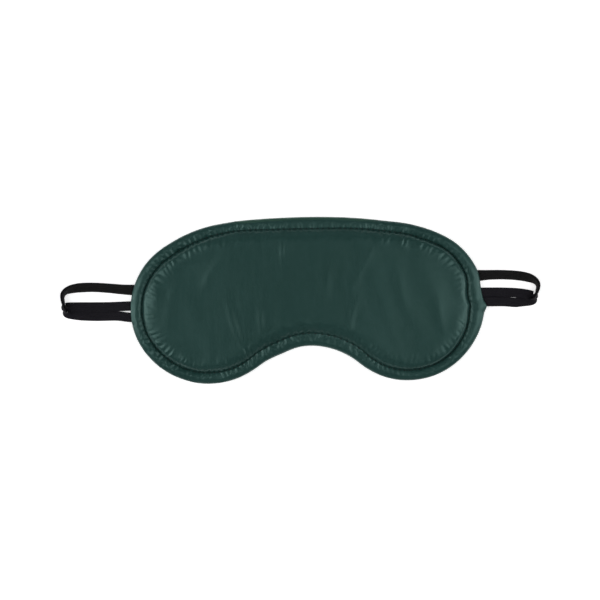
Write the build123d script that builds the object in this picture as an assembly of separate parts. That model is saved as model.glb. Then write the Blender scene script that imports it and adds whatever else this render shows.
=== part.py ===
"""Satin sleep mask with two elastic straps, lying on its back.

+X runs across the mask, +Y towards the brow and +Z out of the front cover. The origin is at the middle
of the mask, on the surface that it lies on. Sizes are in millimetres and angles in degrees.
"""

from build123d import *
import os
from math import cos, radians, sin, sqrt, tan

# Outline: eight arcs, each tangent to the next
MASK_WIDTH = 200.0
MASK_HEIGHT = 92.7
BROW_ANGLE = 7.7  # how far the brow arc turns to each side of the middle
SHOULDER_RADIUS = 75.8
SHOULDER_ANGLE = 34.0  # direction in which the shoulder arc ends
LOBE_ANGLE = 120.0  # direction in which the side arc gives way to the bottom arc
LOBE_EASE = 2.9  # how much larger the bottom arc's radius is than the side arc's
NOSE_ANGLE = 219.0  # direction in which the bottom arc gives way to the nose arc

# Covers
CLOTH = 0.4
ALLOWANCE = 5.0  # seam allowance turned in
RIM_RISE = 2.3  # from the edge seam up to the crest of the rim
STITCH_INSET = 6.3  # from the edge to the row of topstitches
STITCH_RISE = 0.8  # from the edge seam up to the front cover's sewn groove
PAD_RISE = 5.4  # from the edge seam up to the front cover over the pad

# Pad, lining and threads
LINING = 0.3
LOOSE_FIT = 0.1  # between the pad, the lining and the covers
PAD_EDGE_GAP = 0.6  # from the sewn groove's foot to the side of the pad
THREAD = 0.3
SEAM_INSET = 2.2
TACK_LENGTH = 1.2
TACK_GAP = 0.15  # between the edge seam's thread and the tacks
TACK_OVERHANG = 0.3

# Straps
STRAP_WIDTH = 5.2
STRAP_THICKNESS = 0.9
STRAP_END_INSET = 4.8  # how far the sewn ends reach in from the widest points
LEFT_SEWN = -1.8  # y of the upper strap's left sewn end
RIGHT_SEWN = 1.8  # y of its right sewn end
LEFT_END_GAP = 1.2  # between the two straps' left sewn ends
RIGHT_END_GAP = 0.5  # between their right sewn ends
SLOT_FIT = 0.05  # above, below and beside a sewn end in the seam
TABLE_FIT = 0.05  # under a strap that lies on the table
STACK_FIT = 0.15  # between two straps that lie on each other
CHANNEL_SIDE = 1.0  # beside a strap in the back cover's channel
CHANNEL_TOP = 0.4  # over the upper strap in the back cover's channel
HINGE_GAP = 2.0  # from the mask's widest points to the lines about which the loops lift
HINGE_TOP = 0.3  # from the top of the sewn straps to those lines

# Heights that follow from them
LOW = TABLE_FIT + STRAP_THICKNESS / 2  # middle of a strap on the table
HIGH = LOW + STRAP_THICKNESS + STACK_FIT  # middle of a strap that lies on the other
CHANNEL_HEIGHT = HIGH + STRAP_THICKNESS / 2 + CHANNEL_TOP
FLANGE = STRAP_THICKNESS / 2 + SLOT_FIT  # a turned-in allowance, as thick as half a sewn end
SEAM = CHANNEL_HEIGHT + FLANGE  # where the two covers meet at the edge
HINGE_X = MASK_WIDTH / 2 + HINGE_GAP
HINGE_Z = SEAM + STRAP_THICKNESS / 2 + HINGE_TOP
LEFT, RIGHT = -MASK_WIDTH / 2, MASK_WIDTH / 2
LEFT_NEXT = LEFT_SEWN - STRAP_WIDTH - LEFT_END_GAP  # y of the lower strap's left sewn end
RIGHT_NEXT = RIGHT_SEWN - STRAP_WIDTH - RIGHT_END_GAP  # y of its right sewn end
FAR = 2 * MASK_WIDTH  # larger than anything that a box has to cover

# Each strap's route as (x, y, height) points that its path rounds: the left loop from the sewn end, the
# run behind the mask, and the right loop back to the other sewn end. The lower strap lies on the upper.
STRAPS = {
    "upper_strap": (
        [
            (LEFT + STRAP_END_INSET, LEFT_SEWN, SEAM),
            (LEFT - 6.0, LEFT_SEWN, SEAM),
            (LEFT - 19.0, LEFT_SEWN + 0.2, LOW),
            (LEFT - 34.2, LEFT_SEWN - 0.1, LOW),
            (LEFT - 34.5, 9.4, LOW),
            (LEFT - 18.0, 9.5, LOW),
        ],
        [
            (LEFT + 3.0, 7.0, LOW),
            (LEFT + 38.0, 4.6, LOW),
            (-6.0, 6.2, LOW),
            (RIGHT - 50.0, 4.8, LOW),
            (RIGHT - 16.0, 8.0, LOW),
        ],
        [
            (RIGHT + 6.0, 11.6, LOW),
            (RIGHT + 25.2, 11.3, LOW),
            (RIGHT + 25.4, 1.0, LOW),
            (RIGHT + 15.0, RIGHT_SEWN - 0.4, LOW),
            (RIGHT + 5.5, RIGHT_SEWN, SEAM),
            (RIGHT - STRAP_END_INSET, RIGHT_SEWN, SEAM),
        ],
    ),
    "lower_strap": (
        [
            (LEFT + STRAP_END_INSET, LEFT_NEXT, SEAM),
            (LEFT - 6.0, LEFT_NEXT, SEAM),
            (LEFT - 21.0, LEFT_NEXT + 0.3, HIGH),
            (LEFT - 36.2, -6.8, HIGH),
            (LEFT - 36.6, 9.0, HIGH),
            (LEFT - 18.0, 9.6, HIGH),
        ],
        [
            (LEFT + 3.0, 7.8, HIGH),
            (LEFT + 38.0, 9.8, HIGH),
            (-4.0, 12.6, HIGH),
            (RIGHT - 50.0, 11.0, HIGH),
            (RIGHT - 16.0, 12.2, HIGH),
        ],
        [
            (RIGHT + 6.0, 11.6, HIGH),
            (RIGHT + 27.2, 10.7, HIGH),
            (RIGHT + 27.0, -3.6, HIGH),
            (RIGHT + 15.0, RIGHT_NEXT - 0.3, HIGH),
            (RIGHT + 5.0, RIGHT_NEXT, SEAM),
            (RIGHT - STRAP_END_INSET, RIGHT_NEXT, SEAM),
        ],
    ),
}


def heading(angle):
    """Unit vector at an angle clockwise from +Y."""
    return Vector(sin(radians(angle)), cos(radians(angle)))


def outline_arcs():
    """The outline's arcs on the right, brow to nose, as (centre, radius, start angle, end angle).

    The mask's width and height fix the lobe's radius and the brow's; the nose arc closes the outline
    on the middle line, and its radius is negative because it is hollow.
    """
    sin_shoulder = sin(radians(SHOULDER_ANGLE))
    cos_shoulder = cos(radians(SHOULDER_ANGLE))
    slope = tan(radians(BROW_ANGLE) / 2)
    ease = LOBE_EASE * (1 + cos(radians(LOBE_ANGLE)))
    reach = MASK_WIDTH / 2 - SHOULDER_RADIUS * sin_shoulder
    rise = MASK_HEIGHT - SHOULDER_RADIUS * (1 - cos_shoulder) - slope * reach - ease
    side_radius = rise / (1 + cos_shoulder - slope * (1 - sin_shoulder))
    brow_reach = reach - side_radius * (1 - sin_shoulder)
    brow_radius = SHOULDER_RADIUS + brow_reach / sin(radians(BROW_ANGLE))
    bottom_radius = side_radius + LOBE_EASE
    brow = Vector(0, MASK_HEIGHT / 2 - brow_radius)
    shoulder = brow + heading(BROW_ANGLE) * (brow_radius - SHOULDER_RADIUS)
    side = shoulder + heading(SHOULDER_ANGLE) * (SHOULDER_RADIUS - side_radius)
    bottom = side + heading(LOBE_ANGLE) * (side_radius - bottom_radius)
    nose_radius = bottom.X / heading(NOSE_ANGLE).X + bottom_radius
    nose = bottom + heading(NOSE_ANGLE) * (bottom_radius - nose_radius)
    return [
        (brow, brow_radius, 0, BROW_ANGLE),
        (shoulder, SHOULDER_RADIUS, BROW_ANGLE, SHOULDER_ANGLE),
        (side, side_radius, SHOULDER_ANGLE, LOBE_ANGLE),
        (bottom, bottom_radius, LOBE_ANGLE, NOSE_ANGLE),
        (nose, nose_radius, NOSE_ANGLE, 180),
    ]


def outline(inset, height):
    """The mask's outline drawn in by an inset, as a face at a height."""
    half = []
    for centre, radius, start, end in outline_arcs():
        angles = (start, (start + end) / 2, end)
        half.append([centre + heading(a) * (radius - inset) + Vector(0, 0, height) for a in angles])
    edges = []
    for points in half[1:-1]:
        edges.append(ThreePointArc(*points))
        edges.append(ThreePointArc(*[Vector(-p.X, p.Y, p.Z) for p in points]))
    for start, middle_point in ((half[0][2], half[0][0]), (half[-1][0], half[-1][2])):
        edges.append(ThreePointArc(Vector(-start.X, start.Y, start.Z), middle_point, start))
    return make_face(edges)


def layered(profile):
    """Solid whose wall follows a profile of (inset, height) points all round the outline."""
    return loft([outline(inset, height) for inset, height in profile], ruled=True)


def pulled_in(profile, distance):
    """A profile moved square to its own slope: down for a positive distance, up for a negative one."""
    moved = []
    for i, (inset, height) in enumerate(profile):
        before = profile[max(i - 1, 0)]
        after = profile[min(i + 1, len(profile) - 1)]
        run, rise = after[0] - before[0], after[1] - before[1]
        length = sqrt(run * run + rise * rise)
        moved.append((inset + distance * rise / length, height - distance * run / length))
    moved[-1] = (moved[-1][0], profile[-1][1] - distance)
    return moved


def front_profile():
    """Front cover from the edge seam over the rim, down to the stitches and up over the pad."""
    groove = SEAM + STITCH_RISE
    swell = PAD_RISE - STITCH_RISE
    return [
        (0.0, SEAM),
        (0.35, SEAM + 0.42 * RIM_RISE),
        (1.1, SEAM + 0.8 * RIM_RISE),
        (2.4, SEAM + RIM_RISE),
        (STITCH_INSET - 2.3, SEAM + 0.9 * RIM_RISE),
        (STITCH_INSET - 1.0, groove + 0.4 * (RIM_RISE - STITCH_RISE)),
        (STITCH_INSET - THREAD, groove),
        (STITCH_INSET + THREAD, groove),
        (STITCH_INSET + 1.0, groove + 0.18 * swell),
        (STITCH_INSET + 2.0, groove + 0.46 * swell),
        (STITCH_INSET + 3.6, groove + 0.74 * swell),
        (STITCH_INSET + 6.0, groove + 0.92 * swell),
        (STITCH_INSET + 9.5, groove + swell),
    ]


def back_profile():
    """Back cover from the edge seam under the rim, up to the stitches and down to its flat middle."""
    return [
        (0.0, SEAM),
        (0.3, 0.58 * SEAM),
        (1.1, 0.23 * SEAM),
        (2.8, 0.0),
        (STITCH_INSET - 2.0, 0.15),
        (STITCH_INSET - 1.0, 0.4 * CHANNEL_HEIGHT),
        (STITCH_INSET - THREAD, CHANNEL_HEIGHT),
        (STITCH_INSET + THREAD, CHANNEL_HEIGHT),
        (STITCH_INSET + 1.0, 0.4 * CHANNEL_HEIGHT),
        (STITCH_INSET + 2.3, 0.0),
    ]


def ring(inset, width, bottom, thickness):
    """Flat ring that follows the outline."""
    outer = extrude(outline(inset, bottom), thickness)
    return outer - extrude(outline(inset + width, bottom - thickness), 3 * thickness)


def route_of(strap):
    """All the points of a strap's route, from its left sewn end to its right one."""
    left, behind, right = STRAPS[strap]
    return left + behind + right


def strap_path(route):
    """Straight runs joined by tangent arcs, each as large as its two runs allow, and the arcs' radii."""
    points = [Vector(*point) for point in route]
    radii = []
    for before, corner, after in zip(points, points[1:], points[2:]):
        turn = (corner - before).get_angle(after - corner)
        run = min((corner - before).length, (after - corner).length)
        radii.append(0.45 * run / tan(radians(turn) / 2))
    return FilletPolyline(*points, radius=radii), radii


def ribbon(route, width, thickness):
    """Flat band of one width and thickness along a route."""
    path, _ = strap_path(route)
    start = Plane(origin=path @ 0, x_dir=(path % 0).cross(Vector(0, 0, 1)), z_dir=path % 0)
    return sweep(start * Rectangle(width, thickness), path)


def channels(margin):
    """Free space over the table for both straps behind the mask, larger by a margin above and beside."""
    width = STRAP_WIDTH + 2 * (CHANNEL_SIDE + margin)
    height = CHANNEL_HEIGHT + margin
    spaces = []
    for left, behind, right in STRAPS.values():
        route = [(x, y, 0) for x, y, _ in [left[-1], *behind, right[0]]]
        spaces.append(ribbon(route, width, 2 * height))
    return spaces


def slots():
    """Slots through the edge seam for the straps' four sewn ends."""
    spaces = []
    for strap in STRAPS:
        route = route_of(strap)
        for end, outside in ((route[0], route[1]), (route[-1], route[-2])):
            length = abs(outside[0] - end[0])
            middle = Pos((outside[0] + end[0]) / 2, end[1], SEAM)
            spaces.append(middle * Box(length, STRAP_WIDTH + 2 * SLOT_FIT, 2 * FLANGE))
    return spaces


def front_cover():
    """Front satin panel with its seam allowance turned in."""
    profile = front_profile()
    inside = pulled_in(profile, CLOTH)
    inside[0] = (CLOTH, SEAM - CLOTH)
    shell = layered(profile) - layered(inside)
    return shell + ring(CLOTH / 2, ALLOWANCE, SEAM, FLANGE) - slots()


def back_cover():
    """Back satin panel with its seam allowance turned in and a channel over the straps."""
    profile = back_profile()
    inside = pulled_in(profile, -CLOTH)
    inside[0] = (CLOTH, SEAM + CLOTH)
    hollow = layered(inside) - channels(CLOTH)
    shell = layered(profile) - channels(0) - hollow
    return shell + ring(CLOTH / 2, ALLOWANCE, SEAM - FLANGE, FLANGE) - slots()


def pad_profile():
    """Top of the foam pad, which fills the front cover's swelling under the lining."""
    inside = pulled_in(front_profile(), CLOTH + LINING + 2 * LOOSE_FIT)
    foot = STITCH_INSET + 2.3 + CLOTH + PAD_EDGE_GAP
    top = [(inset, height) for inset, height in inside if inset > foot]
    return [(foot, CLOTH + LOOSE_FIT), (foot, top[0][1] - (top[0][0] - foot)), *top]


def foam_pad():
    """Foam pad inside the row of topstitches, hollowed over the straps' channel."""
    return layered(pad_profile()) - channels(CLOTH + LOOSE_FIT)


def blackout_lining():
    """Thin opaque sheet between the pad and the front cover."""
    inset, height = pad_profile()[-1]
    return extrude(outline(inset, height + LOOSE_FIT), LINING)


def tacks(side):
    """Bar tacks over the two strap ends that are sewn in on one side, -1 left or 1 right."""
    row = ring(SEAM_INSET + THREAD + TACK_GAP, TACK_LENGTH, SEAM + FLANGE, THREAD)
    bars = []
    for strap in STRAPS:
        y = route_of(strap)[0 if side < 0 else -1][1]
        over_end = Box(MASK_WIDTH / 2, STRAP_WIDTH + 2 * TACK_OVERHANG, FAR)
        bars += (row & Pos(side * MASK_WIDTH / 2, y, 0) * over_end).solids()
    return Compound(bars)


def strap_pieces(strap):
    """One strap's solid, parted where its loops lift, by piece name."""
    band = ribbon(route_of(strap), STRAP_WIDTH, STRAP_THICKNESS)
    inner = band & Box(2 * HINGE_X, FAR, FAR)
    left_end, back_run, right_end = inner.solids().sort_by(Axis.X)
    outer = (band - Box(2 * HINGE_X, FAR, FAR)).solids().sort_by(Axis.X)
    return {
        f"{strap}_left_end": left_end,
        f"{strap}_left_loop": outer[0],
        f"{strap}_back_run": back_run,
        f"{strap}_right_loop": outer[-1],
        f"{strap}_right_end": right_end,
    }


def build():
    """Every piece of the mask by name."""
    pieces = {
        "front_cover": front_cover(),
        "back_cover": back_cover(),
        "foam_pad": foam_pad(),
        "blackout_lining": blackout_lining(),
        "needle_topstitch": ring(STITCH_INSET - THREAD / 2, THREAD, SEAM + STITCH_RISE, THREAD),
        "bobbin_topstitch": ring(STITCH_INSET - THREAD / 2, THREAD, CHANNEL_HEIGHT - THREAD, THREAD),
        "edge_seam_thread": ring(SEAM_INSET, THREAD, SEAM + FLANGE, THREAD),
        "left_strap_tacks": tacks(-1),
        "right_strap_tacks": tacks(1),
    }
    for strap in STRAPS:
        pieces.update(strap_pieces(strap))
    return pieces


def report_straps():
    """Print each strap's free length and the radii of its path."""
    for strap in STRAPS:
        path, radii = strap_path(route_of(strap))
        print(f"{strap}: {path.length:.0f} mm, radii {[round(radius, 1) for radius in radii]}")


if __name__ == "__main__":
    os.makedirs("parts", exist_ok=True)
    for name, piece in build().items():
        export_step(piece, f"parts/{name}.step")
    report_straps()
    print(f"loops lift about x = +-{HINGE_X:.2f}, z = {HINGE_Z:.2f}")
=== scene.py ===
from math import cos, pi, radians, sin, tan

import bmesh
import bpy
import numpy as np
from mathutils import Matrix, Vector, geometry, noise


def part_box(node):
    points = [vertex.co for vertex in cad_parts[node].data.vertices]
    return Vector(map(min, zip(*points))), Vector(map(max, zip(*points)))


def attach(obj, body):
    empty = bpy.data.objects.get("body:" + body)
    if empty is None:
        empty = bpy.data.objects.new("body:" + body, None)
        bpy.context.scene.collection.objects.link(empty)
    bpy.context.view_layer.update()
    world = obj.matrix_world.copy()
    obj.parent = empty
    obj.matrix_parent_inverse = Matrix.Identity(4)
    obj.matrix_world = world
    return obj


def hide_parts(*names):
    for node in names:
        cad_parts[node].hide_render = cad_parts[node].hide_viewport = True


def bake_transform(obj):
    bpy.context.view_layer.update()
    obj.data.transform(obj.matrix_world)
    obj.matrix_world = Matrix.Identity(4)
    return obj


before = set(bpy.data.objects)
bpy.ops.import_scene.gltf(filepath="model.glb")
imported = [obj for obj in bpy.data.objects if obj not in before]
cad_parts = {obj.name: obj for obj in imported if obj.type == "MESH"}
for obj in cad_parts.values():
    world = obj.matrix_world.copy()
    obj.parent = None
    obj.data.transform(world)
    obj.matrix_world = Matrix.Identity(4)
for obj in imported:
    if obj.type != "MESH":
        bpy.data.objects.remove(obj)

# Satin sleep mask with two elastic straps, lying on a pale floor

bpy.ops.object.select_all(action="DESELECT")
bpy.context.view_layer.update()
MM = 0.001

# The mask's outline, as eight arcs each tangent to the next; its width and height are the frame's
COVER_LOW, COVER_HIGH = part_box("front_cover")
MASK_WIDTH = COVER_HIGH[0] - COVER_LOW[0]
MASK_HEIGHT = COVER_HIGH[1] - COVER_LOW[1]
BROW_ANGLE = 7.7
SHOULDER_RADIUS = 75.8 * MM
SHOULDER_ANGLE = 34.0
LOBE_ANGLE = 120.0
LOBE_EASE = 2.9 * MM
NOSE_ANGLE = 219.0

# Heights of the sewn edge, the rim's crest, the rows of stitches and the pad's top
SEAM = COVER_LOW[2]
CREST = SEAM + 2.3 * MM
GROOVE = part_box("needle_topstitch")[0][2]
TOP = COVER_HIGH[2]
UNDER_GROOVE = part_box("bobbin_topstitch")[1][2]

# Shares of the stitches' inset, and runs from the stitches inwards
CREST_SHARE = 0.5
UNDER_SHARE = 0.45
STITCH_INSET = 6.3 * MM
PAD_RUN = 5.4 * MM  # from the stitches to where the pad's top is level
PAD_TIGHTNESS = 4.0
UNDER_RUN = 2.6 * MM  # from the stitches to where the back cover lies flat
FILL_INSET = 21.0 * MM  # innermost ring of the mesh

COLUMNS = 720
EASED_OVER = COLUMNS // 24  # columns over which a key's value eases into the next one's
RIM_RINGS = 21
PAD_RINGS = 22
FILL_STEP = 1.3 * MM
CLOTH = 0.3 * MM
FOAM_RING = 7  # of the pad's rings, where the foam begins
FOAM_BELOW = 0.85 * MM  # the front cover's face
FOAM_ABOVE = 0.5 * MM  # the back cover's face
HIGHLIGHT_STRIP_WIDTH = 1.5 * MM  # of the strip along the brow where a highlight is painted on the satin
PUCKER_RISE = 0.55 * MM  # of the pad's puckers beside the stitches
RIM_PUCKER_RISE = 0.28 * MM
BETWEEN_RISE = 0.4 * MM  # of the cloth between one stitch and the next
FOLD_DEPTH = 0.4 * MM  # of the fold line along the inner side of the painted highlight strip
SPARE_CLOTH = 0.05  # how much longer the gathered cloth is, as a share
PAD_PRESSURE = 0.2
MOST_MOVED = 1.2 * MM  # by the settling cloth
STITCH_PITCH = 3.2 * MM
STITCH_RADIUS = 0.3 * MM
STITCH_SHOWS = 2.3 * MM  # of each stitch's thread
STITCH_DIP = 0.22 * MM  # of a stitch's ends, and how far its middle stands off the cloth
POINT_Y = -6.2 * MM  # where the right straps pull the edge out to a point
POINT_REACH = 1.5 * MM

# How the sewing wanders, as (share of the way round clockwise from the brow, millimetres)
EDGE_DRIFT = [
    (0.0, 0.0), (0.06, -0.1), (0.09, -0.5), (0.125, 0.0), (0.165, 0.9), (0.2, 0.3), (0.215, 0.3),
    (0.223, -0.9), (0.232, -2.0), (0.24, -1.3), (0.25, -0.1), (0.26, 0.0), (0.3, 0.2), (0.345, 0.9),
    (0.4, 0.9), (0.44, 0.3), (0.5, 0.0), (0.515, 0.4), (0.53, 1.8), (0.55, 0.9), (0.565, 0.4),
    (0.62, 0.4), (0.67, 0.5), (0.715, 0.8), (0.76, 0.4), (0.81, -0.1), (0.84, -0.4), (0.875, 0.0),
    (0.925, 0.6), (0.96, 0.1),
]
STITCH_DRIFT = [
    (0.0, 0.4), (0.08, -0.7), (0.16, 0.0), (0.21, 1.2), (0.257, 2.5), (0.29, 0.9), (0.33, -0.4),
    (0.39, -0.8), (0.46, 0.6), (0.53, 0.8), (0.58, -0.2), (0.64, -0.4), (0.7, 0.3), (0.75, 0.3),
    (0.81, 0.4), (0.86, -0.1), (0.915, -1.1), (0.96, 0.0),
]
# Where the cloth is gathered most, in the same way, from 0 to 1
GATHERS = [
    (0.0, 0.2), (0.05, 0.15), (0.08, 0.8), (0.12, 0.8), (0.15, 0.3), (0.19, 0.12), (0.28, 0.1), (0.34, 0.2),
    (0.42, 0.3), (0.5, 0.4), (0.55, 0.8), (0.6, 0.5), (0.64, 0.4), (0.68, 0.9), (0.71, 0.5), (0.75, 0.12),
    (0.8, 0.15), (0.83, 0.7), (0.87, 1.0), (0.9, 0.7), (0.94, 0.6), (0.97, 0.2),
]

# Where the pad's shoulder is softer and the sewn groove shallower, in the same way, from 0 to 1
SOFTER = [
    (0.0, 1.0), (0.07, 1.0), (0.12, 0.2), (0.17, 0.0), (0.36, 0.0), (0.4, 0.7), (0.46, 1.0), (0.5, 1.0),
    (0.54, 1.0), (0.6, 0.7), (0.64, 0.0), (0.83, 0.0), (0.88, 0.2), (0.93, 1.0),
]

# Creases in the pad's cloth: middle, direction in degrees, length, width and height in millimetres
CREASES = [
    (-42, -14, 108, 13, 1.8, 0.40),
    (-35, -20, 100, 8, 1.4, 0.25),
    (-27, -11, 92, 8, 1.6, 0.35),
    (-14, 27, 88, 7, 1.3, 0.25),
    (-55, 14, 60, 9, 2.4, 0.30),
    (24, -11, 75, 10, 2.0, 0.30),
    (31, 18, 62, 12, 2.4, 0.30),
    (10, 8, 80, 14, 3.0, 0.25),
    (52, 4, 100, 12, 3.0, 0.25),
    (-78, -2, 80, 12, 2.6, 0.25),
    (74, -12, 100, 10, 2.4, 0.25),
]

# Lamps: place, width, height and power
SOFTBOXES = {
    "left_softbox": ((-0.82, 0.03, 0.6), 0.5, 1.4, 6.6),
    "right_softbox": ((0.82, 0.03, 0.6), 0.5, 1.4, 5.7),
    "brow_softbox": ((0, 0.9, 0.7), 0.9, 0.35, 0.3),
    "chin_softbox": ((0, -0.9, 0.7), 0.9, 0.5, 0.4),
    "overhead_softbox": ((0.3, -0.1, 0.9), 0.2, 0.4, 0.2),
}
VIEW_WIDTH = 338.5 * MM  # that the camera takes in at VIEW_HEIGHT
VIEW_HEIGHT = 5 * MM

# Straps
STRAP_WIDTH = 5.4 * MM
STRAP_THICKNESS = 0.9 * MM
RIBS = 5
SEWN_HALF = 0.5 * STRAP_THICKNESS
CHANNEL_HALF = 3.1 * MM  # half the level width of a strap's channel in the back cover
CHANNEL_SLOPE = 3.5 * MM
CHANNEL_RISE = 2.4 * MM

# Each strap half's route as (x, y, height, lean) in millimetres and degrees, from its sewn end to where
# the halves meet behind the mask. A strap lies face up at a lean of 0 and stands on its edge at 90.
STRAPS = {
    "upper_strap_left": [
        (-95.2, -1.8, 2.9, 0),
        (-104.0, -1.9, 2.8, 0),
        (-111.0, -2.1, 2.0, 0),
        (-119.0, -2.0, 1.6, 0),
        (-128.6, -1.8, 1.6, 0),
        (-136.4, -1.7, 1.6, 0),
        (-137.5, -2.0, 2.0, -25),
        (-137.7, -0.5, 2.85, -78),
        (-138.0, 1.4, 2.95, -88),
        (-138.5, 3.6, 2.95, -90),
        (-137.5, 6.4, 2.95, -106),
        (-134.0, 8.0, 2.6, -132),
        (-128.4, 9.0, 1.9, -155),
        (-118.0, 9.1, 1.45, -162),
        (-97.0, 6.4, 0.75, -176),
        (-62.0, 4.6, 0.5, -180),
        (-6.0, 6.2, 0.5, -180),
    ],
    "lower_strap_left": [
        (-95.2, -8.6, 2.9, 0),
        (-101.0, -8.4, 2.8, 0),
        (-107.5, -7.2, 2.0, 0),
        (-115.0, -7.3, 0.8, 0),
        (-121.0, -7.25, 0.6, 0),
        (-129.5, -6.8, 0.5, 0),
        (-135.8, -5.6, 0.6, 0),
        (-137.3, -5.0, 2.2, -60),
        (-137.8, -3.2, 2.9, -85),
        (-138.4, -0.8, 2.9, -88),
        (-139.5, 3.4, 2.9, -90),
        (-138.5, 6.8, 2.95, -106),
        (-134.5, 8.8, 3.2, -132),
        (-128.5, 9.5, 2.8, -155),
        (-118.0, 9.2, 2.35, -162),
        (-97.0, 6.8, 1.7, -176),
        (-62.0, 9.8, 1.55, -180),
        (-4.0, 12.6, 1.55, -180),
    ],
    "upper_strap_right": [
        (95.2, 1.6, 2.9, 0),
        (104.0, 1.5, 2.8, 0),
        (112.0, 1.3, 1.8, 0),
        (119.5, 0.8, 1.6, 0),
        (125.4, -0.3, 1.6, 0),
        (128.1, -1.5, 2.0, 25),
        (128.9, 0.2, 2.85, 75),
        (129.3, 2.0, 2.95, 88),
        (130.1, 4.2, 2.95, 92),
        (129.1, 6.7, 2.9, 108),
        (125.4, 8.8, 2.6, 135),
        (119.8, 10.3, 2.0, 152),
        (110.0, 11.3, 1.6, 160),
        (98.0, 11.1, 0.85, 174),
        (84.0, 8.0, 0.5, 180),
        (50.0, 4.8, 0.5, 180),
        (-6.0, 6.2, 0.5, 180),
    ],
    "lower_strap_right": [
        (95.2, -3.75, 2.9, 0),
        (104.0, -3.8, 2.8, 0),
        (112.0, -3.95, 1.3, 0),
        (117.5, -4.7, 0.6, 0),
        (121.0, -4.3, 0.5, 0),
        (124.8, -4.0, 0.6, 0),
        (127.4, -3.7, 1.7, 25),
        (128.4, -2.2, 2.8, 75),
        (129.8, 0.6, 2.9, 86),
        (131.0, 4.0, 2.9, 92),
        (130.0, 7.2, 2.95, 108),
        (126.0, 9.6, 3.2, 135),
        (120.0, 10.8, 2.9, 152),
        (110.0, 11.5, 2.5, 160),
        (98.0, 11.4, 1.8, 174),
        (84.0, 12.2, 1.55, 180),
        (50.0, 11.0, 1.55, 180),
        (-4.0, 12.6, 1.55, 180),
    ],
}


def smooth(t):
    t = np.clip(t, 0, 1)
    return t * t * (3 - 2 * t)


def noise_at(x, y, z=0.0):
    """Smooth noise at many points."""
    return np.array([noise.noise(Vector((a, b, z))) for a, b in zip(x, y)])


def all_round(keys):
    """A smooth value for every column, eased through keys that repeat after one turn."""
    places = np.array([place for place, _ in keys])
    values = np.array([value for _, value in keys])
    turn = np.arange(COLUMNS) / COLUMNS
    line = np.interp(turn, [*places, 1.0], [*values, values[0]])
    window = np.hanning(EASED_OVER)
    padded = np.concatenate([line[-EASED_OVER:], line, line[:EASED_OVER]])
    eased = np.convolve(padded, window / window.sum(), mode="same")
    return eased[EASED_OVER:-EASED_OVER]


def heading(angle):
    """Unit vector at an angle clockwise from +Y, in degrees."""
    return np.array([sin(radians(angle)), cos(radians(angle))])


def outline_arcs():
    """The outline's arcs on the right, brow to nose, as (centre, radius, start angle, end angle)."""
    sin_shoulder = sin(radians(SHOULDER_ANGLE))
    cos_shoulder = cos(radians(SHOULDER_ANGLE))
    slope = tan(radians(BROW_ANGLE) / 2)
    ease = LOBE_EASE * (1 + cos(radians(LOBE_ANGLE)))
    reach = MASK_WIDTH / 2 - SHOULDER_RADIUS * sin_shoulder
    rise = MASK_HEIGHT - SHOULDER_RADIUS * (1 - cos_shoulder) - slope * reach - ease
    side_radius = rise / (1 + cos_shoulder - slope * (1 - sin_shoulder))
    brow_reach = reach - side_radius * (1 - sin_shoulder)
    brow_radius = SHOULDER_RADIUS + brow_reach / sin(radians(BROW_ANGLE))
    bottom_radius = side_radius + LOBE_EASE
    brow = np.array([0.0, MASK_HEIGHT / 2 - brow_radius])
    shoulder = brow + heading(BROW_ANGLE) * (brow_radius - SHOULDER_RADIUS)
    side = shoulder + heading(SHOULDER_ANGLE) * (SHOULDER_RADIUS - side_radius)
    bottom = side + heading(LOBE_ANGLE) * (side_radius - bottom_radius)
    nose_radius = bottom[0] / heading(NOSE_ANGLE)[0] + bottom_radius
    nose = bottom + heading(NOSE_ANGLE) * (bottom_radius - nose_radius)
    return [
        (brow, brow_radius, 0, BROW_ANGLE),
        (shoulder, SHOULDER_RADIUS, BROW_ANGLE, SHOULDER_ANGLE),
        (side, side_radius, SHOULDER_ANGLE, LOBE_ANGLE),
        (bottom, bottom_radius, LOBE_ANGLE, NOSE_ANGLE),
        (nose, nose_radius, NOSE_ANGLE, 180),
    ]


def outline_columns():
    """Evenly spaced places round the edge, clockwise from the brow: (edge points, inward directions)."""
    arcs = outline_arcs()
    lengths = [abs(radius * radians(end - start)) for _, radius, start, end in arcs]
    ends = np.cumsum(lengths)
    edge, inward = [], []
    for k in range(COLUMNS // 2 + 1):
        along = ends[-1] * k / (COLUMNS // 2)
        i = min(int(np.searchsorted(ends, along)), len(arcs) - 1)
        centre, radius, start, end = arcs[i]
        out = heading(start + (end - start) * (1 - (ends[i] - along) / lengths[i]))
        edge.append(centre + out * radius)
        inward.append(-out)
    mirror = np.array([-1.0, 1.0])
    edge += [p * mirror for p in edge[-2:0:-1]]
    inward += [p * mirror for p in inward[-2:0:-1]]
    return np.array(edge), np.array(inward)


EDGE, INWARD = outline_columns()
PERIMETER = float(np.linalg.norm(np.roll(EDGE, -1, 0) - EDGE, axis=1).sum())
DRIFT = all_round(EDGE_DRIFT) * MM
PULL = POINT_REACH * np.exp(-(((EDGE[:, 1] - POINT_Y) / (2.6 * MM)) ** 2)) * (EDGE[:, 0] > 0)
EDGE = EDGE - INWARD * (DRIFT + PULL)[:, None]
STITCH = STITCH_INSET + (all_round(STITCH_DRIFT) * MM + 0.7 * PULL)
GATHER = all_round(GATHERS)
SOFT = all_round(SOFTER)
GROOVES = GROOVE + 0.7 * MM * SOFT
STITCH_COUNT = round(PERIMETER / STITCH_PITCH)


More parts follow.
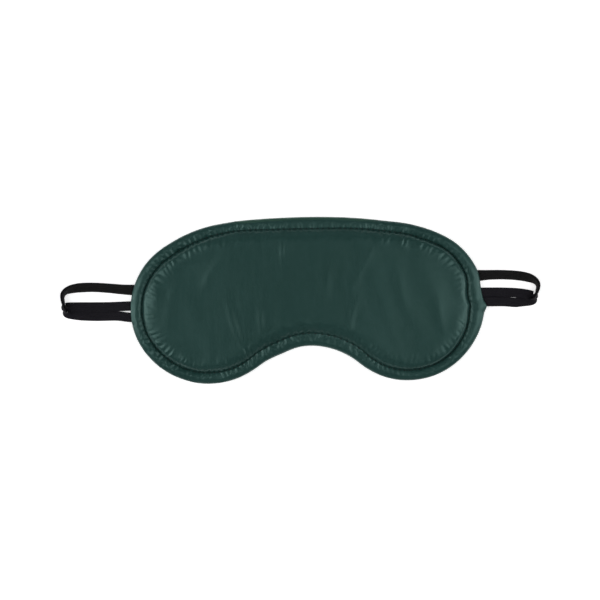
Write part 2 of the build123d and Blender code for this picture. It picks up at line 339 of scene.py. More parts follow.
def front_height(inset, column):
    """Front cover: a rolled rim, a sewn groove and the pad's rounded shoulder."""
    stitch, groove = STITCH[column], GROOVES[column]
    crest = CREST_SHARE * stitch
    roll = SEAM + (CREST - SEAM) * np.clip(1 - (1 - inset / crest) ** 2, 0, 1) ** 0.5
    t = np.clip((inset - crest) / (stitch - crest), 0, 1)
    rim = groove + (CREST - groove) * np.sqrt(1 - t**2.2)
    s = np.clip((inset - stitch) / (PAD_RUN * (1 + 0.6 * SOFT[column])), 0, 1)
    pad = groove + (TOP - groove) * (1 - (1 - s) ** (PAD_TIGHTNESS - 0.6 * SOFT[column]))
    return np.where(inset < crest, roll, np.where(inset < stitch, rim, pad))


def back_height(inset, stitch):
    """Back cover: the rim's underside, the sewn groove and the flat middle."""
    under = UNDER_SHARE * stitch
    t = np.clip(1 - inset / under, 0, 1)
    roll = SEAM * (1 - np.sqrt(1 - t * t))
    rise = smooth((inset - 1.3 * under) / (stitch - 1.3 * under)) ** 1.3
    fall = 1 - smooth((inset - stitch) / UNDER_RUN) ** 0.7
    groove = UNDER_GROOVE * np.where(inset < stitch, rise, fall)
    return np.where(inset < under, roll, groove)


def ring_shares():
    """Where the mesh's rings lie: (share of the stitches' inset, run past the stitches)."""
    rim = (1 - np.cos(np.linspace(0, pi, RIM_RINGS))) / 2
    run = (FILL_INSET - STITCH_INSET) * np.linspace(0, 1, PAD_RINGS)[1:] ** 1.5
    return [(share, 0.0) for share in rim] + [(1.0, r) for r in run]


def inside(point, loop, margin):
    """Whether a point is inside a closed loop and clear of it by a margin."""
    x, y = loop[:, 0], loop[:, 1]
    nx, ny = np.roll(x, -1), np.roll(y, -1)
    crosses = ((y > point[1]) != (ny > point[1])) & (
        point[0] < (nx - x) * (point[1] - y) / (ny - y + 1e-15) + x
    )
    return crosses.sum() % 2 == 1 and np.hypot(x - point[0], y - point[1]).min() > margin


def ring_faces(count):
    """Quads between neighbouring rings, turned upwards."""
    faces = []
    for r in range(count - 1):
        for c in range(COLUMNS):
            d = (c + 1) % COLUMNS
            faces.append((r * COLUMNS + c, (r + 1) * COLUMNS + c, (r + 1) * COLUMNS + d, r * COLUMNS + d))
    return faces


def middle_fill(inner):
    """Points inside the innermost ring, and the triangles that join them to it."""
    low, high = inner.min(0), inner.max(0)
    row_step = FILL_STEP * 0.866
    fill = []
    for j in range(int((high[1] - low[1]) / row_step) + 1):
        for i in range(int((high[0] - low[0]) / FILL_STEP) + 1):
            point = (low[0] + (i + 0.5 * (j % 2)) * FILL_STEP, low[1] + (j + 0.5) * row_step)
            if inside(point, inner, 0.7 * FILL_STEP):
                fill.append(point)
    loop = [(c, (c + 1) % COLUMNS) for c in range(COLUMNS)]
    verts, _, triangles, origins, _, _ = geometry.delaunay_2d_cdt(
        [Vector(p) for p in [*inner, *fill]], loop, [list(range(COLUMNS))], 1, 1e-7
    )
    extra, index = [], []
    for place, origin in zip(verts, origins):
        on_ring = [k for k in origin if k < COLUMNS]
        index.append(on_ring[0] if on_ring else COLUMNS + len(extra))
        if not on_ring:
            extra.append(tuple(place))
    return np.array(extra), [tuple(index[k] for k in triangle) for triangle in triangles]


def panel_grid():
    """A cover in plan: its points, their insets, their nearest columns, and its faces."""
    shares = ring_shares()
    count = len(shares)
    insets = np.array([STITCH * share + run for share, run in shares])
    last = insets[-1]
    insets[RIM_RINGS:] += (FILL_INSET - last) * smooth(np.linspace(0, 1, count - RIM_RINGS))[:, None]
    rings = EDGE[None] + INWARD[None] * insets[:, :, None]
    extra, triangles = middle_fill(rings[-1])
    first = (count - 1) * COLUMNS
    plan = np.concatenate([rings.reshape(-1, 2), extra])
    inset = np.concatenate([insets.ravel(), np.full(len(extra), 1.5 * FILL_INSET)])
    nearest = np.array([int(np.argmin(np.hypot(*(EDGE - p).T))) for p in extra])
    column = np.concatenate([np.tile(np.arange(COLUMNS), count), nearest])
    faces = ring_faces(count) + [tuple(first + k for k in triangle) for triangle in triangles]
    return plan, inset, column, faces


PLAN, INSET, COLUMN, PANEL_FACES = panel_grid()


def new_mesh(name, points, faces):
    """A mesh object at the origin with smooth faces."""
    mesh = bpy.data.meshes.new(name)
    mesh.from_pydata([tuple(map(float, p)) for p in points], [], faces)
    mesh.update()
    mesh.shade_smooth()
    obj = bpy.data.objects.new(name, mesh)
    bpy.context.scene.collection.objects.link(obj)
    return obj


def coordinates(mesh):
    co = np.empty(3 * len(mesh.vertices))
    mesh.vertices.foreach_get("co", co)
    return co.reshape(-1, 3)


def vertex_group(obj, name, weights):
    group = obj.vertex_groups.new(name=name)
    rounded = np.round(weights, 2)
    for level in np.unique(rounded):
        group.add(np.nonzero(rounded == level)[0].tolist(), float(level), "REPLACE")


SIM_SCALE = 10


def simulated(obj, pins, spare, growth, pressure, frames=20):
    """Where cloth with spare fabric settles, held where a pin is 1 and grown most where spare is 1."""
    co = coordinates(obj.data)
    obj.data.vertices.foreach_set("co", (co * SIM_SCALE).ravel())
    vertex_group(obj, "pins", pins)
    vertex_group(obj, "taut", 1 - spare)
    modifier = obj.modifiers.new("cloth", "CLOTH")
    cloth = modifier.settings
    cloth.quality = 5
    cloth.mass = 0.2
    cloth.tension_stiffness = 25
    cloth.compression_stiffness = 25
    cloth.shear_stiffness = 8
    cloth.bending_stiffness = 0.2
    cloth.tension_damping = cloth.compression_damping = 8
    cloth.air_damping = 3
    cloth.vertex_group_mass = "pins"
    cloth.pin_stiffness = 2
    cloth.vertex_group_shrink = "taut"
    cloth.shrink_min = -growth
    cloth.shrink_max = 0
    cloth.use_pressure = pressure > 0
    cloth.uniform_pressure_force = pressure
    cloth.effector_weights.gravity = 0
    modifier.collision_settings.use_collision = False
    modifier.collision_settings.use_self_collision = False
    modifier.point_cache.frame_start = 1
    modifier.point_cache.frame_end = frames
    scene = bpy.context.scene
    for step in range(1, frames + 1):
        scene.frame_set(step)
    shaped = obj.evaluated_get(bpy.context.evaluated_depsgraph_get()).data
    result = coordinates(shaped) / SIM_SCALE
    obj.modifiers.remove(modifier)
    obj.vertex_groups.clear()
    obj.data.vertices.foreach_set("co", co.ravel())
    scene.frame_set(1)
    return result


# Materials


def new_group(name, inputs, outputs):
    """An empty node group with float or vector sockets."""
    group = bpy.data.node_groups.new(name, "ShaderNodeTree")
    for label, kind in inputs:
        group.interface.new_socket(label, in_out="INPUT", socket_type=kind)
    for label, kind in outputs:
        group.interface.new_socket(label, in_out="OUTPUT", socket_type=kind)
    return group, group.nodes.new("NodeGroupInput"), group.nodes.new("NodeGroupOutput")


def scaled(nodes, links, vector, scale):
    """The vector times a constant vector."""
    node = nodes.new("ShaderNodeVectorMath")
    node.operation = "MULTIPLY"
    node.inputs[1].default_value = scale
    links.new(vector, node.inputs[0])
    return node.outputs[0]


def noise_value(nodes, links, vector, scale, detail, roughness=0.5):
    """Cloudy unevenness, from 0 to 1."""
    node = nodes.new("ShaderNodeTexNoise")
    node.inputs["Scale"].default_value = scale
    node.inputs["Detail"].default_value = detail
    node.inputs["Roughness"].default_value = roughness
    links.new(vector, node.inputs["Vector"])
    return node.outputs["Fac"]


def wave_value(nodes, links, vector, direction, scale, distortion):
    """Straight bands of threads, a little uneven."""
    node = nodes.new("ShaderNodeTexWave")
    node.bands_direction = direction
    node.inputs["Scale"].default_value = scale
    node.inputs["Distortion"].default_value = distortion
    node.inputs["Detail"].default_value = 1
    links.new(vector, node.inputs["Vector"])
    return node.outputs["Fac"]


def combined(nodes, links, operation, first, second):
    """Two values joined by a math node; either may be a number."""
    node = nodes.new("ShaderNodeMath")
    node.operation = operation
    for socket, value in zip(node.inputs, (first, second)):
        if isinstance(value, (int, float)):
            socket.default_value = value
        else:
            links.new(value, socket)
    return node.outputs[0]


def ranged(nodes, links, value, low, high, to_low, to_high):
    """A value stretched from one range to another and held inside it."""
    node = nodes.new("ShaderNodeMapRange")
    links.new(value, node.inputs["Value"])
    numbers = {"From Min": low, "From Max": high, "To Min": to_low, "To Max": to_high}
    for label, number in numbers.items():
        node.inputs[label].default_value = number
    return node.outputs["Result"]


def blended(nodes, links, share, first, second):
    """A colour between two colours."""
    node = nodes.new("ShaderNodeMix")
    node.data_type = "RGBA"
    links.new(share, node.inputs["Factor"])
    for socket, value in ((node.inputs[6], first), (node.inputs[7], second)):
        if isinstance(value, tuple):
            socket.default_value = (*value, 1)
        else:
            links.new(value, socket)
    return node.outputs[2]


def woven_group():
    """Fine weave, soft rumples and slubs of a cloth, as a height and a mask of its worn threads."""
    group, start, end = new_group(
        "woven_cloth",
        [("Vector", "NodeSocketVector")],
        [("Height", "NodeSocketFloat"), ("Slubs", "NodeSocketFloat")],
    )
    nodes, links = group.nodes, group.links
    vector = start.outputs["Vector"]
    warp = wave_value(nodes, links, vector, "X", 900, 0.4)
    weft = wave_value(nodes, links, vector, "Y", 420, 0.8)
    rumple = noise_value(nodes, links, vector, 190, 3, 0.6)
    slubs = noise_value(nodes, links, scaled(nodes, links, vector, (900, 60, 200)), 1.0, 3, 0.6)
    weave = combined(nodes, links, "MULTIPLY", combined(nodes, links, "ADD", warp, weft), 0.06)
    height = combined(nodes, links, "ADD", weave, combined(nodes, links, "MULTIPLY", rumple, 0.9))
    height = combined(nodes, links, "ADD", height, combined(nodes, links, "MULTIPLY", slubs, 0.12))
    links.new(height, end.inputs["Height"])
    links.new(ranged(nodes, links, slubs, 0.35, 0.7, 0, 1), end.inputs["Slubs"])
    return group


def tone_group():
    """Broad and fine unevenness of dyed cloth, as one mask."""
    group, start, end = new_group(
        "dye_tone", [("Vector", "NodeSocketVector")], [("Tone", "NodeSocketFloat")]
    )
    nodes, links = group.nodes, group.links
    vector = start.outputs["Vector"]
    broad = noise_value(nodes, links, scaled(nodes, links, vector, (1.0, 0.45, 1.0)), 38, 2)
    fine = noise_value(nodes, links, vector, 260, 4, 0.6)
    broad = combined(nodes, links, "MULTIPLY", broad, 0.65)
    fine = combined(nodes, links, "MULTIPLY", fine, 0.35)
    mask = combined(nodes, links, "ADD", broad, fine)
    links.new(ranged(nodes, links, mask, 0.35, 0.65, 0, 1), end.inputs["Tone"])
    return group


WOVEN = woven_group()
DYE = tone_group()


def material(name):
    """A new material: (material, nodes, links, shader)."""
    made = bpy.data.materials.new(name)
    made.use_nodes = True
    nodes = made.node_tree.nodes
    return made, nodes, made.node_tree.links, nodes["Principled BSDF"]


def shared(nodes, links, group, vector):
    """A shared effect placed in a material."""
    node = nodes.new("ShaderNodeGroup")
    node.node_tree = group
    links.new(vector, node.inputs["Vector"])
    return node


def bump(nodes, links, shader, height, strength, distance):
    """Relief on a material's surface."""
    node = nodes.new("ShaderNodeBump")
    node.inputs["Strength"].default_value = strength
    node.inputs["Distance"].default_value = distance
    links.new(height, node.inputs["Height"])
    links.new(node.outputs["Normal"], shader.inputs["Normal"])


def cloth_material(name, dark, light, rough, depth, specular):
    """Dyed woven cloth between two tones, matt or shiny."""
    made, nodes, links, shader = material(name)
    place = nodes.new("ShaderNodeTexCoord").outputs["Object"]
    tone = shared(nodes, links, DYE, place).outputs["Tone"]
    weave = shared(nodes, links, WOVEN, place)
    links.new(blended(nodes, links, tone, dark, light), shader.inputs["Base Color"])
    roughness = ranged(nodes, links, weave.outputs["Slubs"], 0, 1, rough - 0.04, rough + 0.05)
    links.new(roughness, shader.inputs["Roughness"])
    bump(nodes, links, shader, weave.outputs["Height"], 1.0, depth)
    shader.inputs["Specular IOR Level"].default_value = specular
    return made, nodes, links, shader


def satin_material():
    """Green satin with a green sheen, and a highlight painted lighter in a strip along the brow."""
    made, nodes, links, shader = cloth_material(
        "green_satin",
        dark=(0.0105, 0.040, 0.035),
        light=(0.0145, 0.048, 0.043),
        rough=0.36,
        depth=0.06 * MM,
        specular=0.55,
    )
    shader.inputs["Specular Tint"].default_value = (0.62, 1.0, 0.93, 1)
    # painted highlight: a lighter colour along the brow edge, where the rim's crest catches the light
    edge = nodes.new("ShaderNodeAttribute")
    edge.attribute_name = "painted_highlight_strip"
    base = shader.inputs["Base Color"].links[0].from_socket
    with_painted_highlight = blended(nodes, links, edge.outputs["Fac"], base, (0.028, 0.072, 0.052))
    links.new(with_painted_highlight, shader.inputs["Base Color"])
    return made


def lining_material():
    """Matt black plain weave."""
    made, *_ = cloth_material(
        "black_lining",
        dark=(0.004, 0.004, 0.004),
        light=(0.010, 0.010, 0.011),
        rough=0.85,
        depth=0.1 * MM,
        specular=0.2,
    )
    return made


def elastic_material():
    """Braided elastic: chevrons along lengthwise cords, bluer on one face than on the other."""
    made, nodes, links, shader = material("black_elastic")
    place = nodes.new("ShaderNodeUVMap")
    place.uv_map = "strap"
    split = nodes.new("ShaderNodeSeparateXYZ")
    links.new(place.outputs["UV"], split.inputs[0])
    run, around = split.outputs["X"], split.outputs["Y"]
    turn = combined(nodes, links, "MULTIPLY", around, 4 * RIBS)
    zigzag = combined(nodes, links, "PINGPONG", turn, 1.0)
    slanted = combined(nodes, links, "ADD", combined(nodes, links, "MULTIPLY", run, 1.6), zigzag)
    threads = combined(nodes, links, "SINE", combined(nodes, links, "MULTIPLY", slanted, 2 * pi), 0)
    fuzz = noise_value(nodes, links, scaled(nodes, links, place.outputs["UV"], (2.2, 60, 1)), 1.0, 4, 0.6)
    height = combined(nodes, links, "ADD", combined(nodes, links, "MULTIPLY", threads, 0.35), fuzz)
    bump(nodes, links, shader, height, 0.8, 0.12 * MM)
    facing = ranged(nodes, links, around, 0.49, 0.51, 0, 1)
    lit = combined(nodes, links, "ADD", fuzz, combined(nodes, links, "MULTIPLY", threads, 0.12))
    tone = ranged(nodes, links, lit, 0.3, 0.75, 0, 1)
    cool = blended(nodes, links, tone, (0.0036, 0.0030, 0.0062), (0.0085, 0.0076, 0.0120))
    plain = blended(nodes, links, tone, (0.0026, 0.0026, 0.0026), (0.0080, 0.0080, 0.0080))
    links.new(blended(nodes, links, facing, cool, plain), shader.inputs["Base Color"])
    shader.inputs["Roughness"].default_value = 0.72
    shader.inputs["Specular IOR Level"].default_value = 0.22
    return made


def thread_material(name, dark, light):
    """Twisted sewing thread."""
    made, nodes, links, shader = material(name)
    place = nodes.new("ShaderNodeTexCoord").outputs["Object"]
    twist = wave_value(nodes, links, place, "DIAGONAL", 1400, 1.5)
    fuzz = noise_value(nodes, links, place, 2600, 3)
    height = combined(nodes, links, "ADD", twist, combined(nodes, links, "MULTIPLY", fuzz, 0.5))
    bump(nodes, links, shader, height, 0.7, 0.05 * MM)
    links.new(blended(nodes, links, twist, dark, light), shader.inputs["Base Color"])
    links.new(ranged(nodes, links, fuzz, 0, 1, 0.5, 0.75), shader.inputs["Roughness"])
    return made


def foam_material():
    """Grey open-cell foam, with shade painted darker in its pores."""
    made, nodes, links, shader = material("grey_foam")
    place = nodes.new("ShaderNodeTexCoord").outputs["Object"]
    pores = nodes.new("ShaderNodeTexVoronoi")
    pores.inputs["Scale"].default_value = 1300
    links.new(place, pores.inputs["Vector"])
    cell = pores.outputs["Distance"]
    bump(nodes, links, shader, cell, 0.9, 0.25 * MM)
    drift = noise_value(nodes, links, place, 90, 3)
    # painted shade: darker where the pores' bump is lowest, mixed with random tone
    pore_shade_and_tone = combined(nodes, links, "MULTIPLY", combined(nodes, links, "ADD", cell, drift), 0.6)
    base = blended(nodes, links, pore_shade_and_tone, (0.05, 0.05, 0.055), (0.2, 0.2, 0.2))
    links.new(base, shader.inputs["Base Color"])
    shader.inputs["Roughness"].default_value = 0.95
    return made


SATIN = satin_material()
ELASTIC = elastic_material()
THREAD = thread_material("green_thread", (0.0015, 0.007, 0.006), (0.005, 0.020, 0.017))
LINING = lining_material()
FOAM = foam_material()
KEPT_NODES = {
    "blackout_lining": LINING,
    "edge_seam_thread": THREAD,
    "left_strap_tacks": THREAD,
    "right_strap_tacks": THREAD,
}


def strap_line(name):
    """A strap half's NURBS line: its points, and how far along the route each lies, in control points."""
    route = STRAPS[name]
    curve = bpy.data.curves.new(name + "_route", "CURVE")
    curve.dimensions = "3D"
    spline = curve.splines.new("NURBS")
    spline.points.add(len(route) - 1)
    for point, (x, y, z, _) in zip(spline.points, route):
        point.co = (x * MM, y * MM, z * MM, 1)
    spline.order_u = 3
    spline.use_endpoint_u = True
    spline.resolution_u = 14
    guide = bpy.data.objects.new(name + "_route", curve)
    line = coordinates(bpy.data.meshes.new_from_object(guide))
    bpy.data.objects.remove(guide)
    spans = len(route) - 2
    place = np.linspace(0, spans, len(line)) + 0.5
    place[0], place[-1] = 0, len(route) - 1
    return line, place


def strap_section():
    """Half the thickness at points across a strap, ribbed lengthwise with thin edges, as (across, half)."""
    across = np.linspace(-1, 1, 8 * RIBS + 1)
    ribs = 0.86 + 0.14 * np.cos(across * RIBS * pi)
    ends = np.sqrt(np.clip(1 - np.abs(across) ** 12, 0, 1))
    return across, ribs * ends


def strap_directions(name, line, place):
    """Unit vectors along each point's width, and out of its face."""
    keys = [lean for *_, lean in STRAPS[name]]
    leans = np.radians(np.interp(place, np.arange(len(keys)), keys))
    ahead = np.gradient(line, axis=0)
    ahead /= np.linalg.norm(ahead, axis=1)[:, None]
    side = np.cross([0, 0, 1], ahead)
    side /= np.linalg.norm(side, axis=1)[:, None]
    up = np.cross(ahead, side)
    wide = np.cos(leans)[:, None] * side + np.sin(leans)[:, None] * up
    return wide, np.cross(ahead, wide)


def strap_piece(name):
    """One half of a strap as a ribbed ribbon that follows its route: (piece, line, length)."""
    line, place = strap_line(name)
    wide, face = strap_directions(name, line, place)
    across, half = strap_section()
    loop_across = np.concatenate([across, across[-2:0:-1]])
    loop_half = np.concatenate([half, -half[-2:0:-1]])
    count = len(loop_across)
    points = []
    for middle, w, f in zip(line, wide, face):
        for a, h in zip(loop_across, loop_half):
            points.append(middle + w * a * STRAP_WIDTH / 2 + f * h * STRAP_THICKNESS / 2)
    faces = []
    for i in range(len(line) - 1):
        for j in range(count):
            k = (j + 1) % count
            faces.append((i * count + j, i * count + k, (i + 1) * count + k, (i + 1) * count + j))
    last = (len(line) - 1) * count
    faces.append(tuple(range(count))[::-1])
    faces.append(tuple(range(last, last + count)))
    obj = new_mesh(name, points, faces)
    run = np.concatenate([[0], np.cumsum(np.linalg.norm(np.diff(line, axis=0), axis=1))])
    unroll(obj, run, count)
    obj.data.materials.append(ELASTIC)
    return obj, line, run[-1]


def unroll(obj, run, count):
    """A strap's UV map: millimetres along it, and the share of the way round it."""
    uv = obj.data.uv_layers.new(name="strap")
    loop_vertex = np.empty(len(obj.data.loops), int)
    obj.data.loops.foreach_get("vertex_index", loop_vertex)
    ring, spot = loop_vertex // count, loop_vertex % count
    uv.data.foreach_set("uv", np.column_stack([run[ring] / MM, spot / count]).ravel())


def flip_outwards(obj):
    """Recalculate the normals of a closed piece."""
    shape = bmesh.new()
    shape.from_mesh(obj.data)
    bmesh.ops.recalc_face_normals(shape, faces=shape.faces)
    shape.to_mesh(obj.data)
    shape.free()


def straps():
    """The four strap halves, each bending where its loop lifts; returns their middle lines by name."""
    lines = {}
    for name in STRAPS:
        obj, line, length = strap_piece(name)
        flip_outwards(obj)
        lines[name] = line
        strap, side = name.rsplit("_", 1)
        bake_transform(obj)
        nodes = [f"{strap}_{side}_end", f"{strap}_{side}_loop"]
        if side == "left":
            nodes.append(f"{strap}_back_run")
        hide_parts(*nodes)
    return lines


def near_straps(x, y):
    """How far each point is in plan from the nearest strap that runs low behind the mask."""
    nearest = np.full(len(x), 1.0)
    for line in STRAP_LINES.values():
        behind = line[(np.abs(line[:, 0]) < 118 * MM) & (line[:, 2] < 1.8 * MM)]
        for (ax, ay, _), (bx, by, _) in zip(behind, behind[1:]):
            run = (bx - ax) ** 2 + (by - ay) ** 2
            share = np.clip(((x - ax) * (bx - ax) + (y - ay) * (by - ay)) / run, 0, 1)
            away = np.hypot(x - ax - share * (bx - ax), y - ay - share * (by - ay))
            nearest = np.minimum(nearest, away if run < (20 * MM) ** 2 else 1.0)
    return nearest


def strap_gap(height):
    """How far the seam is parted over the sewn strap ends, for every column."""
    gap = np.zeros(COLUMNS)
    for route in STRAPS.values():
        x, y = route[0][:2]
        beside = np.abs(EDGE[:, 1] - y * MM) - STRAP_WIDTH / 2
        gap = np.maximum(gap, (1 - smooth(beside / (1.2 * MM))) * (EDGE[:, 0] * x > 0))
    return height * gap


def thicken(obj):
    """Give a cover its cloth's thickness on the inside."""
    modifier = obj.modifiers.new("thickness", "SOLIDIFY")
    modifier.thickness = CLOTH
    modifier.offset = -1
    bpy.context.view_layer.objects.active = obj
    obj.select_set(True)
    bpy.ops.object.modifier_apply(modifier=modifier.name)
    obj.select_set(False)


def puckers(inset, column, reach):
    """Short wrinkles square to the stitches, from one stitch to the next, from 0 to 1 at most."""
    past = (inset - STITCH[column]) / reach
    inwards = np.clip(past * 2.5, 0, 1) * np.exp(-((past * 0.9) ** 2))
    fade = np.where(past > 0, inwards, np.exp(-((past * 1.6) ** 2)))
    along = column * PERIMETER / COLUMNS
    slant = 0.3 * np.clip(inset - STITCH[column], 0, None)
    wander = 0.8 * STITCH_PITCH * noise_at(along / (11 * MM), inset / (14 * MM), 3.0)
    wave = 0.5 + 0.5 * np.sin(2 * pi * (along + slant + wander) / (1.25 * STITCH_PITCH))
    uneven = 0.55 + 1.1 * noise_at(along / (6 * MM), inset / (12 * MM), 7.0)
    return fade * wave * np.clip(uneven, 0.05, 1.4) * GATHER[column]


def creases(plan):
    """Soft creases across the pad, in millimetres of height."""
    x, y = plan[:, 0] / MM, plan[:, 1] / MM
    height = 0.35 * noise_at((x + 0.35 * y) / 13, y / 45, 1.0) + 0.25 * noise_at(x / 38, y / 20, 5.0)
    for cx, cy, angle, length, width, rise in CREASES:
        along = (x - cx) * cos(radians(angle)) + (y - cy) * sin(radians(angle))
        across = (y - cy) * cos(radians(angle)) - (x - cx) * sin(radians(angle))
        across += 0.06 * along**2 / length
        height += rise * np.exp(-((along / length) ** 2) - (across / width) ** 2)
    return np.maximum(height, -0.2)


def highlight_strip_and_fold():
    """Along the brow, a strip where a highlight is painted on the satin, and the fold line at its inner
    side.
    """
    x = EDGE[COLUMN, 0] / MM
    brow = (EDGE[COLUMN, 1] > 0) * smooth((x + 48) / 14) * smooth((46 - x) / 16)
    reach = HIGHLIGHT_STRIP_WIDTH * (0.35 + 0.65 * brow)
    painted_highlight_strip = brow * (1 - smooth((INSET - reach) / (0.25 * MM)))
    fold = brow * np.exp(-(((INSET - reach) / (0.4 * MM)) ** 2))
    return painted_highlight_strip, fold


def front_shape():
    """The front cover's heights before its cloth settles."""
    stitch = STITCH[COLUMN]
    z = front_height(INSET, COLUMN)
    z += PUCKER_RISE * puckers(INSET, COLUMN, 5.0 * MM) * (INSET > stitch)
    rim_only = (INSET < stitch) * smooth(INSET / (1.2 * MM))
    z += RIM_PUCKER_RISE * puckers(INSET, COLUMN, 4.0 * MM) * rim_only
    z += creases(PLAN) * MM * smooth((INSET - stitch) / PAD_RUN)
    z += strap_gap(SEWN_HALF)[COLUMN] * (1 - smooth(INSET / (2.0 * MM)))
    between = 0.5 - 0.5 * np.cos(2 * pi * COLUMN * STITCH_COUNT / COLUMNS)
    in_groove = np.exp(-(((INSET - stitch) / (1.2 * MM)) ** 2))
    z += BETWEEN_RISE * between * in_groove * (0.3 + 0.7 * SOFT[COLUMN])
    return z


def settle(obj):
    """Let the gathered cloth beside the stitches wrinkle, held at the stitches and the edge."""
    stitch = STITCH[COLUMN]
    held = (np.abs(INSET - stitch) < 0.01 * MM) | (INSET < 0.01 * MM)
    pins = np.where(held, 1.0, np.where(INSET > stitch, 0.05, 0.1))
    spread = np.where(INSET > stitch, (INSET - stitch) / (5 * MM), (stitch - INSET) / (4 * MM))
    spare = np.exp(-(spread**2)) * (0.03 + 0.97 * GATHER[COLUMN])
    moved = simulated(obj, pins, np.clip(spare, 0, 1), SPARE_CLOTH, PAD_PRESSURE)
    step = moved - coordinates(obj.data)
    size = np.linalg.norm(step, axis=1)
    step *= (MOST_MOVED * np.tanh(size / MOST_MOVED) / np.maximum(size, 1e-9))[:, None]
    step *= (1 - smooth((INSET - 8 * MM) / (12 * MM)))[:, None]
    obj.data.vertices.foreach_set("co", (coordinates(obj.data) + step).ravel())


def front_cover():
    """The front panel; returns its outer points."""
    painted_highlight_strip, fold = highlight_strip_and_fold()
    z = front_shape() - FOLD_DEPTH * fold
    obj = new_mesh("front_satin", np.column_stack([PLAN, z]), PANEL_FACES)
    # the painted highlight strip along the brow, kept as a point attribute for the satin
    obj.data.attributes.new("painted_highlight_strip", "FLOAT", "POINT").data.foreach_set("value", painted_highlight_strip)
    settle(obj)
    points = coordinates(obj.data)
    thicken(obj)
    obj.data.materials.append(SATIN)
    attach(obj, "mask")
    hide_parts("front_cover")
    return points


def back_points():
    """The back cover's outer points, with the channels that the straps press into it."""
    stitch = STITCH[COLUMN]
    z = back_height(INSET, stitch)
    z += 0.15 * MM * puckers(INSET, COLUMN, 3.0 * MM) * (INSET > stitch)
    beside = near_straps(PLAN[:, 0], PLAN[:, 1]) - CHANNEL_HALF
    lift = CHANNEL_RISE * (1 - smooth(beside / CHANNEL_SLOPE))
    off_edge = smooth(INSET / (1.0 * MM))
    z = np.maximum(z, lift * off_edge + z * (1 - off_edge))
    z -= strap_gap(SEWN_HALF)[COLUMN] * (1 - smooth(INSET / (2.0 * MM)))
    return np.column_stack([PLAN, np.maximum(z, 0.02 * MM)])


def back_cover():
    """The back panel; returns its outer points."""
    points = back_points()
    obj = new_mesh("back_satin", points, [face[::-1] for face in PANEL_FACES])
    thicken(obj)
    obj.data.materials.append(SATIN)
    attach(obj, "mask")
    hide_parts("back_cover")
    return points


def foam_filling(front, back):
    """The pad: foam from just over the back cover to just under the lining, inside the topstitches."""
    first = (RIM_RINGS + FOAM_RING) * COLUMNS
    top, bottom = front[first:].copy(), back[first:].copy()
    top[:, 2] = np.minimum(top[:, 2], TOP) - FOAM_BELOW
    bottom[:, 2] += FOAM_ABOVE
    top[:, 2] = np.maximum(top[:, 2], bottom[:, 2] + 0.5 * MM)
    inner = [tuple(k - first for k in face) for face in PANEL_FACES if min(face) >= first]
    count = len(top)
    faces = inner + [tuple(k + count for k in face[::-1]) for face in inner]
    for c in range(COLUMNS):
        d = (c + 1) % COLUMNS
        faces.append((c, d, count + d, count + c))
    obj = new_mesh("foam_filling", np.concatenate([top, bottom]), faces)
    flip_outwards(obj)
    obj.data.materials.append(FOAM)
    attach(obj, "mask")
    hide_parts("foam_pad")


def one_stitch():
    """A single stitch as long as its thread shows, lying along X and dipping at both ends."""
    bpy.ops.mesh.primitive_cylinder_add(
        vertices=6, radius=STITCH_RADIUS, depth=STITCH_SHOWS, rotation=(0, pi / 2, 0)
    )
    stitch = bpy.context.object
    bpy.ops.object.transform_apply(location=True, rotation=True, scale=True)
    bpy.ops.object.mode_set(mode="EDIT")
    for x in (-0.6 * MM, 0.6 * MM):
        bpy.ops.mesh.select_all(action="SELECT")
        bpy.ops.mesh.bisect(plane_co=(x, 0, 0), plane_no=(1, 0, 0))
    bpy.ops.object.mode_set(mode="OBJECT")
    for vertex in stitch.data.vertices:
        reach = abs(vertex.co.x) / (STITCH_SHOWS / 2)
        taper = 1 - 0.45 * reach**3
        vertex.co.y *= taper
        vertex.co.z = vertex.co.z * taper - STITCH_DIP * reach**2
    return stitch


def topstitches(name, heights, side, node):
    """A row of stitches all round, on the front where side is 1 or the back where it is -1."""
    model = one_stitch()
    copies = []
    row = EDGE + INWARD * STITCH[:, None]
    for k in range(STITCH_COUNT):
        place = k * COLUMNS / STITCH_COUNT
        c = int(place) % COLUMNS
        d = (c + 3) % COLUMNS
        point = row[c]
        direction = row[d] - row[c - 3]
        angle = np.arctan2(direction[1], direction[0])
        mesh = model.data.copy()
        mesh.transform(
            Matrix.Translation((point[0], point[1], heights[c] + side * STITCH_DIP))
            @ Matrix.Rotation(angle + 0.06 * noise.noise(Vector((k * 0.7, 0, 0))), 4, "Z")
            @ Matrix.Rotation(0 if side > 0 else pi, 4, "X")
        )
        copies.append(bpy.data.objects.new(f"{name}_{k}", mesh))
        bpy.context.scene.collection.objects.link(copies[-1])
    bpy.data.objects.remove(model)
    bpy.ops.object.select_all(action="DESELECT")
    for copy in copies:
        copy.select_set(True)
    bpy.context.view_layer.objects.active = copies[0]
    bpy.ops.object.join()
    row_of = bpy.context.object
    row_of.name = name
    row_of.select_set(False)
    row_of.data.materials.clear()
    row_of.data.materials.append(THREAD)
    row_of.data.shade_smooth()
    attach(row_of, "mask")
    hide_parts(node)


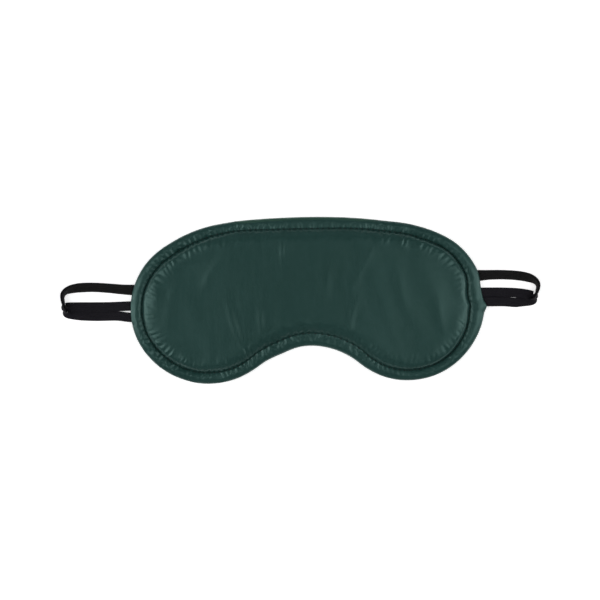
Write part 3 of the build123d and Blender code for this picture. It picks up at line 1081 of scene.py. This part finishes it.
def floor():
    """A plain pale floor."""
    bpy.ops.mesh.primitive_plane_add(size=6, location=(0, 0, 0))
    plane = bpy.context.object
    plane.name = "floor"
    made, _, _, shader = material("pale_floor")
    shader.inputs["Base Color"].default_value = (0.9, 0.9, 0.9, 1)
    shader.inputs["Roughness"].default_value = 0.9
    shader.inputs["Emission Color"].default_value = (1, 1, 1, 1)
    shader.inputs["Emission Strength"].default_value = 0.6
    plane.data.materials.append(made)
    plane.select_set(False)


def softbox(name, place, width, height, power):
    """A rectangular lamp turned to the middle of the mask."""
    data = bpy.data.lights.new(name, "AREA")
    data.shape = "RECTANGLE"
    data.size, data.size_y, data.energy = width, height, power
    lamp = bpy.data.objects.new(name, data)
    lamp.location = place
    lamp.rotation_euler = (-Vector(place)).to_track_quat("-Z", "Y").to_euler()
    bpy.context.scene.collection.objects.link(lamp)


def studio():
    """Soft light, mostly from the sides."""
    world = bpy.data.worlds.new("studio")
    bpy.context.scene.world = world
    world.use_nodes = True
    background = world.node_tree.nodes["Background"]
    background.inputs["Color"].default_value = (1, 1, 1, 1)
    background.inputs["Strength"].default_value = 0.1
    for name, values in SOFTBOXES.items():
        softbox(name, *values)
    bpy.context.scene.view_settings.view_transform = "Standard"


def camera():
    """Straight above the mask, with a long lens."""
    data = bpy.data.cameras.new("camera")
    data.lens, data.sensor_width = 100, 36
    data.clip_start, data.clip_end = 0.01, 20
    shot = bpy.data.objects.new("camera", data)
    distance = VIEW_WIDTH * data.lens / data.sensor_width
    shot.location = (-4.5 * MM, -0.55 * MM, distance + VIEW_HEIGHT)
    shot.rotation_euler = (0, 0, radians(-1.25))
    bpy.context.scene.collection.objects.link(shot)
    bpy.context.scene.camera = shot


camera()
STRAP_LINES = straps()
floor()
studio()
foam_filling(front_cover(), back_cover())
topstitches("needle_stitches", GROOVES, 1, "needle_topstitch")
topstitches("bobbin_stitches", np.full(COLUMNS, UNDER_GROOVE), -1, "bobbin_topstitch")
for node, finish in KEPT_NODES.items():
    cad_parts[node].data.materials.clear()
    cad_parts[node].data.materials.append(finish)
